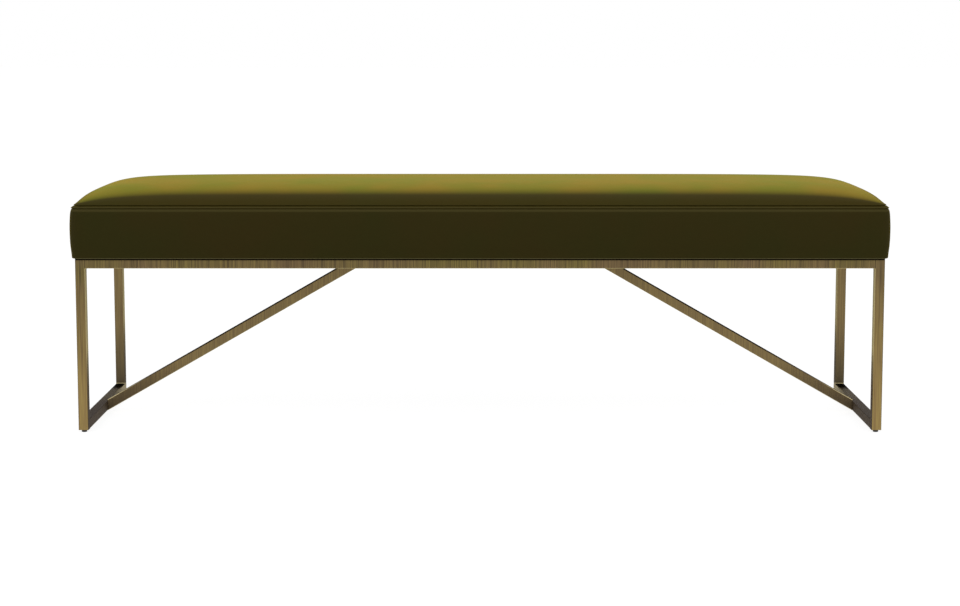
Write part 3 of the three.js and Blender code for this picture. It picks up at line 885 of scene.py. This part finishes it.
def slack_rows():
    """The side's rows as sewn, before the filling pushes them out."""
    low = UNDER_ROWS[0][1]
    high = RIDGE_ROWS[-1][1]
    rows = []
    for offset, height in SIDE_ROWS:
        share = math.sin(math.pi * (height - low) / (high - low))
        rows.append((offset * MM - SIDE_SLACK * share, height * MM))
    return rows


def sewn_cover():
    """The empty cover, with the top panel's faces numbered 0, the band's 1 and the underside's 2, and the
    points that are sewn or stapled."""
    cover = crowned_sheet(COLUMNS, ROWS, SEAM_OFFSET, SEAM_Z + LIP, CROWN_RISE - LIP - CROWN_SLACK)
    panel = cover.faces.layers.int.new("panel")
    rim = [edge for edge in cover.edges if edge.is_boundary]
    free = set(cover.verts) - {vert for edge in rim for vert in edge.verts}
    rim = hem(cover, rim, in_metres(TURN_ROWS + RIDGE_ROWS))
    for vert in cover.verts:
        vert.co = drawn_in(vert.co)
    held = set(cover.verts) - free
    rim = hem(cover, rim, slack_rows())
    free = set(cover.verts) - held
    rim = hem(cover, rim, in_metres(UNDER_ROWS))
    held = set(cover.verts) - free
    bmesh.ops.recalc_face_normals(cover, faces=cover.faces)
    for face in cover.faces:
        face[panel] = 1 if min(vert.co.z for vert in face.verts) < SEAM_Z - 0.00001 else 0
    bottom = bmesh.ops.contextual_create(cover, geom=rim)["faces"]
    for face in bottom:
        face[panel] = 2
    return cover, held


def swell(cover, held):
    """Blows the cover up as cloth, with its sewn points held. The filling stops what would sink in, and the
    weave stops what would stretch far."""
    cover.normal_update()
    cover.verts.index_update()
    mesh = bpy.data.meshes.new("swelling")
    cover.to_mesh(mesh)
    blown = bpy.data.objects.new("swelling", mesh)
    scene.collection.objects.link(blown)
    group = blown.vertex_groups.new(name="sewn")
    group.add([vert.index for vert in held], 1.0, "REPLACE")
    cloth = blown.modifiers.new("cloth", "CLOTH")
    settings = cloth.settings
    settings.quality = 5
    settings.mass = 0.3
    settings.tension_stiffness = 20
    settings.compression_stiffness = 20
    settings.shear_stiffness = 8
    settings.bending_stiffness = 1.5
    settings.vertex_group_mass = "sewn"
    settings.use_pressure = True
    settings.uniform_pressure_force = 4
    settings.effector_weights.gravity = 0
    cloth.collision_settings.use_collision = False
    cloth.point_cache.frame_start = 1
    cloth.point_cache.frame_end = FILLING_FRAMES
    for step in range(1, FILLING_FRAMES + 1):
        scene.frame_set(step)
    shaped = blown.evaluated_get(bpy.context.evaluated_depsgraph_get()).to_mesh()
    push = {vert: 0.0 for vert in cover.verts}
    free = [vert for vert in cover.verts if vert not in held]
    for vert in free:
        push[vert] = max(0.0, (shaped.vertices[vert.index].co - vert.co).dot(vert.normal))
    beside = {vert: [edge.other_vert(vert) for edge in vert.link_edges] for vert in free}
    for _ in range(EVENING):
        evened = {vert: sum(push[other] for other in near) / len(near) for vert, near in beside.items()}
        push.update(evened)
    for vert in free:
        vert.co += vert.normal * SWELL * math.tanh(push[vert] / SWELL)
    scene.frame_set(1)
    bpy.data.objects.remove(blown)


def only_panel(cover, number):
    """A copy of the cover with one panel's faces."""
    part = cover.copy()
    panel = part.faces.layers.int["panel"]
    others = [face for face in part.faces if face[panel] != number]
    bmesh.ops.delete(part, geom=others, context="FACES")
    return part


def cloth_thickness(made):
    """A smooth sheet with the cover's real thickness inwards."""
    smooth = made.modifiers.new("smooth", "SUBSURF")
    smooth.levels = 1
    smooth.render_levels = 1
    wall = made.modifiers.new("thickness", "SOLIDIFY")
    wall.thickness = COVER_THICKNESS
    wall.offset = -1


def make_cover():
    """The velvet cover, filled, then taken apart into its top panel and its boxing band."""
    cover, held = sewn_cover()
    swell(cover, held)
    top = only_panel(cover, 0)
    band = only_panel(cover, 1)
    hem(band, open_rim(band, highest=False), in_metres(FOLDED_ROWS))
    cover.free()
    for body in (top, band):
        bmesh.ops.remove_doubles(body, verts=body.verts, dist=1e-5)
        bmesh.ops.recalc_face_normals(body, faces=body.faces)
    top_panel = piece(top, "velvet_top_panel", velvet, "bench", ["cover_top"])
    boxing = piece(band, "velvet_boxing_band", velvet, "bench", ["cover_band"])
    for made, fill in ((top_panel, 0.9), (boxing, 0.85)):
        cloth_thickness(made)


def round_the_seat(offset, spacing):
    """Points at equal steps round the seat's outline, each with its heading."""
    flat_x = HALF_X - CORNER
    flat_y = HALF_Y - CORNER
    radius = CORNER + offset
    centres = [(flat_x, -flat_y), (flat_x, flat_y), (-flat_x, flat_y), (-flat_x, -flat_y)]
    runs = [2 * flat_x, 2 * flat_y] * 2
    bend = radius * math.pi / 2
    total = sum(runs) + 4 * bend
    count = round(total / spacing)
    for index in range(count):
        along = index * total / count
        quarter = 0
        while along > runs[quarter] + bend:
            along -= runs[quarter] + bend
            quarter += 1
        turned = max(0.0, along - runs[quarter]) / radius
        heading = quarter * math.pi / 2 + turned
        short = max(0.0, runs[quarter] - along)
        x = centres[quarter][0] + radius * math.sin(heading) - short * math.cos(heading)
        y = centres[quarter][1] - radius * math.cos(heading) - short * math.sin(heading)
        yield Vector((x, y, 0)), heading


def make_top_stitching():
    """A stitch of thread every 4.5 mm in the groove below the seam."""
    row = bmesh.new()
    size = Matrix.Diagonal((*STITCH_RADII, 1))
    for place, heading in round_the_seat(STITCH_OFFSET, STITCH_PITCH):
        at = Matrix.Translation(drawn_in(place + Vector((0, 0, STITCH_Z))))
        turn = Matrix.Rotation(heading, 4, "Z")
        bmesh.ops.create_icosphere(row, subdivisions=1, radius=1, matrix=at @ turn @ size)
    piece(row, "top_stitching", thread, "bench", [])


def make_foam():
    """The foam block under the cover: flat below, crowned above, with its upper edge cut round."""
    block = crowned_sheet(60, 24, FOAM_OFFSET, SEAM_Z - FOAM_DROP, CROWN_RISE + FOAM_EXTRA_RISE)
    rim = hem(block, open_rim(block), [(FOAM_OFFSET, FOAM_SHOULDER), (FOAM_OFFSET, FOAM_BOTTOM)])
    bmesh.ops.contextual_create(block, geom=rim)
    bmesh.ops.recalc_face_normals(block, faces=block.faces)
    made = piece(block, "foam_block", foam, "bench", ["foam_core"])


def make_wadding():
    """Wadding wrapped round the boards and the foam, out to the inside of the band."""
    wrap = bmesh.new()
    outside = [(offset - WADDING_CLEAR, height) for offset, height in SIDE_ROWS[::-1]]
    lower = [(WADDING_INSIDE, WADDING_BOTTOM), (5.0, WADDING_BOTTOM)]
    upper = [(4.0, WADDING_TOP), (WADDING_INSIDE, WADDING_TOP)]
    rows = in_metres([*lower, *outside, *upper])
    stations = [place for place, _ in round_the_seat(rows[0][0], 0.012)]
    ring = [wrap.verts.new((place.x, place.y, rows[0][1])) for place in stations]
    first = [wrap.edges.new(pair) for pair in zip(ring, ring[1:] + ring[:1])]
    last = hem(wrap, first, rows[1:])
    bmesh.ops.bridge_loops(wrap, edges=first + last)
    bmesh.ops.recalc_face_normals(wrap, faces=wrap.faces)
    piece(wrap, "wadding_wrap", wadding, "bench", ["side_wadding"])


def make_lining():
    """The lining cloth under the seat, stretched over the rails and a little slack between them."""
    sheet = bmesh.new()
    bmesh.ops.create_grid(sheet, x_segments=150, y_segments=44, size=1)
    inside_x = HALF_X - TUBE
    inside_y = HALF_Y - TUBE
    middle = CROSS_BAR_X - TUBE / 2
    for vert in sheet.verts:
        x = vert.co.x * LINING_WIDTH / 2
        y = vert.co.y * LINING_DEPTH / 2
        if abs(x) < middle:
            along = x / middle
        else:
            along = (2 * abs(x) - middle - TUBE - inside_x) / (inside_x - middle - TUBE)
        across = y / inside_y
        slack = max(0.0, 1 - along**2) * max(0.0, 1 - across**2)
        vert.co = (x, y, LINING_Z - LINING_SAG * slack**0.8)
    bmesh.ops.recalc_face_normals(sheet, faces=sheet.faces)
    made = piece(sheet, "lining_cloth", lining, "bench", ["dust_cover"])
    wall = made.modifiers.new("thickness", "SOLIDIFY")
    wall.thickness = LINING_THICKNESS
    wall.offset = 0


make_cover()
make_top_stitching()
make_foam()
make_wadding()
make_lining()


# Glides and seat screws


def glide_pad():
    """A round nylon foot: a flat tread with a moulded ring, a rounded edge and a bore for its stud."""
    profile = [(0, 0.3), (1.8, 0.3), (2.1, 0.0), (4.2, 0.0)]
    profile += arc((4.2, 1.3), 1.3, -80, 0, 5)
    profile += [(5.5, 2.6), (5.42, 2.75), (5.5, 2.9), (5.5, 4.3)]
    profile += arc((5.1, 4.3), 0.4, 20, 90, 3)
    profile += [(3.3, 4.7), (3.3, 1.6), (0, 1.6)]
    return spun(profile, 48)


def threaded_stud():
    """A stud with a 6 mm thread of 1 mm pitch, wound as one ridge up its core."""
    turns = 22
    steps = 20
    body = bmesh.new()
    section = in_metres([(2.45, 2.2), (2.95, 2.62), (2.95, 2.78), (2.45, 3.2)])
    ridge = [body.verts.new((radius, 0, height)) for radius, height in section]
    edges = [body.edges.new(pair) for pair in zip(ridge, ridge[1:])]
    bmesh.ops.spin(
        body,
        geom=ridge + edges,
        cent=(0, 0, 0),
        axis=(0, 0, 1),
        dvec=(0, 0, MM / steps),
        angle=2 * math.pi * turns,
        steps=steps * turns,
    )
    bmesh.ops.recalc_face_normals(body, faces=body.faces)
    profile = [(0, 1.9), (2.0, 1.9), (2.5, 2.4), (2.5, 24.6), (2.1, 25), (0, 25)]
    core = spun(profile, steps)
    bmesh.ops.recalc_face_normals(core, faces=core.faces)
    held = bpy.data.meshes.new("core")
    core.to_mesh(held)
    core.free()
    body.from_mesh(held)
    bpy.data.meshes.remove(held)
    return body


def make_glides():
    """A nylon pad and its threaded stud under each leg."""
    for corner, (x, y) in FEET.items():
        pad = glide_pad()
        bmesh.ops.recalc_face_normals(pad, faces=pad.faces)
        bmesh.ops.translate(pad, verts=pad.verts, vec=(x, y, 0))
        piece(pad, f"nylon_pad_{corner}", nylon, f"pad_{corner}", [f"glide_pad_{corner}"])
        stud = threaded_stud()
        bmesh.ops.translate(stud, verts=stud.verts, vec=(x, y, 0))
        name = f"threaded_stud_{corner}"
        piece(stud, name, zinc, f"stud_{corner}", [f"glide_stud_{corner}"])


def seat_screw():
    """A button-head screw seen from below, with a hexagon socket."""
    profile = [(0, 371.1), (2.6, 371.1), (3.0, 370.6), (3.0, 334.9), (6.5, 334.9), (6.5, 334.0)]
    profile += [(6.3, 333.3), (5.7, 332.4), (4.9, 331.7), (4.0, 331.35), (3.0, 331.3)]
    body = spun(profile, 36)
    rim = [edge for edge in body.edges if edge.is_boundary]
    for height in (331.45, 333.4):
        grown = bmesh.ops.extrude_edge_only(body, edges=rim)["geom"]
        for part in grown:
            if isinstance(part, bmesh.types.BMVert):
                angle = math.atan2(part.co.y, part.co.x) % (math.pi / 3) - math.pi / 6
                reach = SOCKET_REACH / math.cos(angle)
                part.co = (*(part.co.xy.normalized() * reach), height * MM)
        rim = [part for part in grown if isinstance(part, bmesh.types.BMEdge) and part.is_boundary]
    bmesh.ops.contextual_create(body, geom=rim)
    bmesh.ops.recalc_face_normals(body, faces=body.faces)
    return body


def make_seat_screws():
    """The screws up into the seat, with their turned edges kept sharp."""
    for name, (x, y) in SCREWS.items():
        screw = seat_screw()
        bmesh.ops.translate(screw, verts=screw.verts, vec=(x, y, 0))
        made = piece(screw, f"button_screw_{name}", zinc, "bench", [f"seat_screw_{name}"])
        edge = made.modifiers.new("edge", "EDGE_SPLIT")
        edge.split_angle = math.radians(35)


make_glides()
make_seat_screws()
